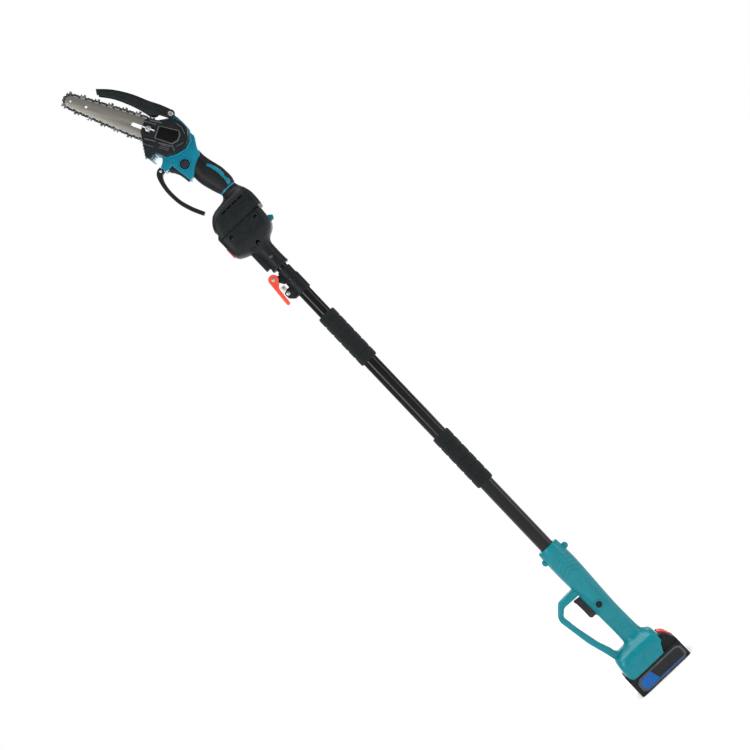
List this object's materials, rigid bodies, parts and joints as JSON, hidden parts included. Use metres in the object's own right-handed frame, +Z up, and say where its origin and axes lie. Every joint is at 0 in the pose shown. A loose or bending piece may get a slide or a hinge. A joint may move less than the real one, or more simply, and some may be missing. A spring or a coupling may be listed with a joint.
{
  "type": "telescoping pole saw",
  "caption": "Battery chain saw on a telescoping pole with a lever clamp, foam grips and a trigger handle standing on its battery.",
  "frame": {"origin": "centre of the pole's axis on the flat underside of the battery", "axes": "+Z up along the pole, -X towards the trigger side of the handles, -Y towards the sprocket cover and lock buttons"},
  "size_m": [0.1422, 0.0915, 1.508],
  "materials": {
    "black_plastic": "satin, fine moulded grain",
    "teal_plastic": "semi-gloss moulded",
    "red_plastic": "semi-gloss moulded",
    "rubber_grip": "soft overmould with ribs",
    "foam": "closed-cell foam, matt",
    "lead_sheath": "smooth rubber sheath",
    "tube_paint": "gloss black paint on aluminium tube",
    "steel": "zinc plated",
    "bar_steel": "ground and hardened",
    "dark_steel": "blackened",
    "cell_wrap": "shrink film over steel cans"
  },
  "bodies": {
    "handle": {"handle_shell_left": "teal_plastic", "handle_shell_right": "teal_plastic", "handle_contact_block": "black_plastic", "handle_switch": "black_plastic", "handle_screw_upper": "steel", "handle_screw_lower": "steel", "handle_trigger_spring": "steel", "lower_tube": "tube_paint", "upper_tube": "tube_paint", "grip_lower": "foam", "grip_upper": "foam", "clamp_collar": "black_plastic", "lever_pin": "steel", "clamp_screw": "steel", "clamp_wear_plate": "steel", "coiled_lead": "lead_sheath"},
    "battery": {"battery_lower_case": "black_plastic", "battery_upper_case": "black_plastic", "battery_cells": "cell_wrap", "battery_latch_spring": "steel"},
    "battery_latch": {"battery_latch_button": "red_plastic"},
    "trigger": {"handle_trigger": "black_plastic"},
    "lock_button": {"handle_lock_button": "black_plastic"},
    "lever": {"clamp_lever": "red_plastic"},
    "pole_head": {"inner_tube": "tube_paint", "inner_tube_bush": "black_plastic", "head_shell_left": "black_plastic", "head_shell_right": "black_plastic", "head_contact_block": "black_plastic", "head_pull_tab": "teal_plastic", "head_release_spring": "steel", "socket_screw_upper": "steel", "socket_screw_lower": "steel"},
    "head_release": {"head_release_button": "red_plastic"},
    "saw": {"saw_dock": "black_plastic", "saw_shell_left": "teal_plastic", "saw_shell_right": "teal_plastic", "saw_grip_sleeve": "rubber_grip", "saw_contact_block": "black_plastic", "saw_switch": "black_plastic", "saw_trigger_spring": "steel", "hand_guard": "black_plastic", "hand_guard_screw": "steel", "motor_can": "steel", "shaft_bearing": "steel", "guide_bar": "bar_steel", "saw_chain": "dark_steel", "bar_stud": "steel", "sprocket_cover": "black_plastic", "chain_guard_screw": "steel", "chain_guard_spring": "steel"},
    "saw_trigger": {"saw_trigger": "black_plastic"},
    "saw_lock": {"saw_lock_button": "black_plastic"},
    "chain_guard": {"chain_guard": "black_plastic"},
    "wing_nut": {"wing_nut": "steel"},
    "rotor": {"motor_rotor": "dark_steel"},
    "drive": {"drive_gear": "dark_steel", "drive_shaft": "steel", "drive_sprocket": "steel"}
  },
  "joints": [
    {"name": "battery_slide", "type": "slide", "parent": "handle", "child": "battery", "axis": [1, 0, 0], "range_m": [0, 0.115]},
    {"name": "battery_latch_push", "type": "slide", "parent": "battery", "child": "battery_latch", "axis": [0, 0, -1], "range_m": [0, 0.003], "stiffness_N_per_m": 400, "springref_m": -0.004, "deforming": ["battery_latch_spring"]},
    {"name": "trigger_pull", "type": "slide", "parent": "handle", "child": "trigger", "axis": [1, 0, 0], "range_m": [0, 0.005], "stiffness_N_per_m": 500, "springref_m": -0.004, "deforming": ["handle_trigger_spring"]},
    {"name": "lock_button_push", "type": "slide", "parent": "handle", "child": "lock_button", "axis": [0, 1, 0], "range_m": [0, 0.002], "stiffness_N_per_m": 300, "springref_m": -0.003},
    {"name": "clamp_lever_swing", "type": "hinge", "parent": "handle", "child": "lever", "pos_m": [-0.027, 0, 1.005], "axis": [0, 1, 0], "range_deg": [0, 110]},
    {"name": "pole_extend", "type": "slide", "parent": "handle", "child": "pole_head", "axis": [0, 0, 1], "range_m": [0, 0.43], "deforming": ["coiled_lead"]},
    {"name": "head_release_push", "type": "slide", "parent": "pole_head", "child": "head_release", "axis": [1, 0, 0], "range_m": [0, 0.003], "stiffness_N_per_m": 400, "springref_m": -0.004, "deforming": ["head_release_spring"]},
    {"name": "saw_slide_off", "type": "slide", "parent": "pole_head", "child": "saw", "axis": [1, 0, 0], "range_m": [0, 0.11]},
    {"name": "saw_trigger_pull", "type": "slide", "parent": "saw", "child": "saw_trigger", "axis": [1, 0, 0], "range_m": [0, 0.005], "stiffness_N_per_m": 500, "springref_m": -0.004, "deforming": ["saw_trigger_spring"]},
    {"name": "saw_lock_push", "type": "slide", "parent": "saw", "child": "saw_lock", "axis": [0, 1, 0], "range_m": [0, 0.002], "stiffness_N_per_m": 300, "springref_m": -0.003},
    {"name": "chain_guard_swing", "type": "hinge", "parent": "saw", "child": "chain_guard", "pos_m": [0.0455, 0, 1.348], "axis": [0, 1, 0], "range_deg": [0, 30], "stiffness_Nm_per_rad": 0.08, "springref_deg": -40.11, "deforming": ["chain_guard_spring"]},
    {"name": "wing_nut_turn", "type": "hinge", "parent": "saw", "child": "wing_nut", "pos_m": [-0.00268, 0, 1.35469], "axis": [0, 1, 0], "continuous": true},
    {"name": "rotor_spin", "type": "hinge", "parent": "saw", "child": "rotor", "pos_m": [0.02492, 0, 1.3061], "axis": [0, 1, 0], "continuous": true},
    {"name": "drive_spin", "type": "hinge", "parent": "saw", "child": "drive", "pos_m": [0.0115, 0, 1.326], "axis": [0, 1, 0], "continuous": true}
  ],
  "couplings": [
    {"joint": "drive_spin", "follows": "rotor_spin", "ratio": -0.33333}
  ]
}
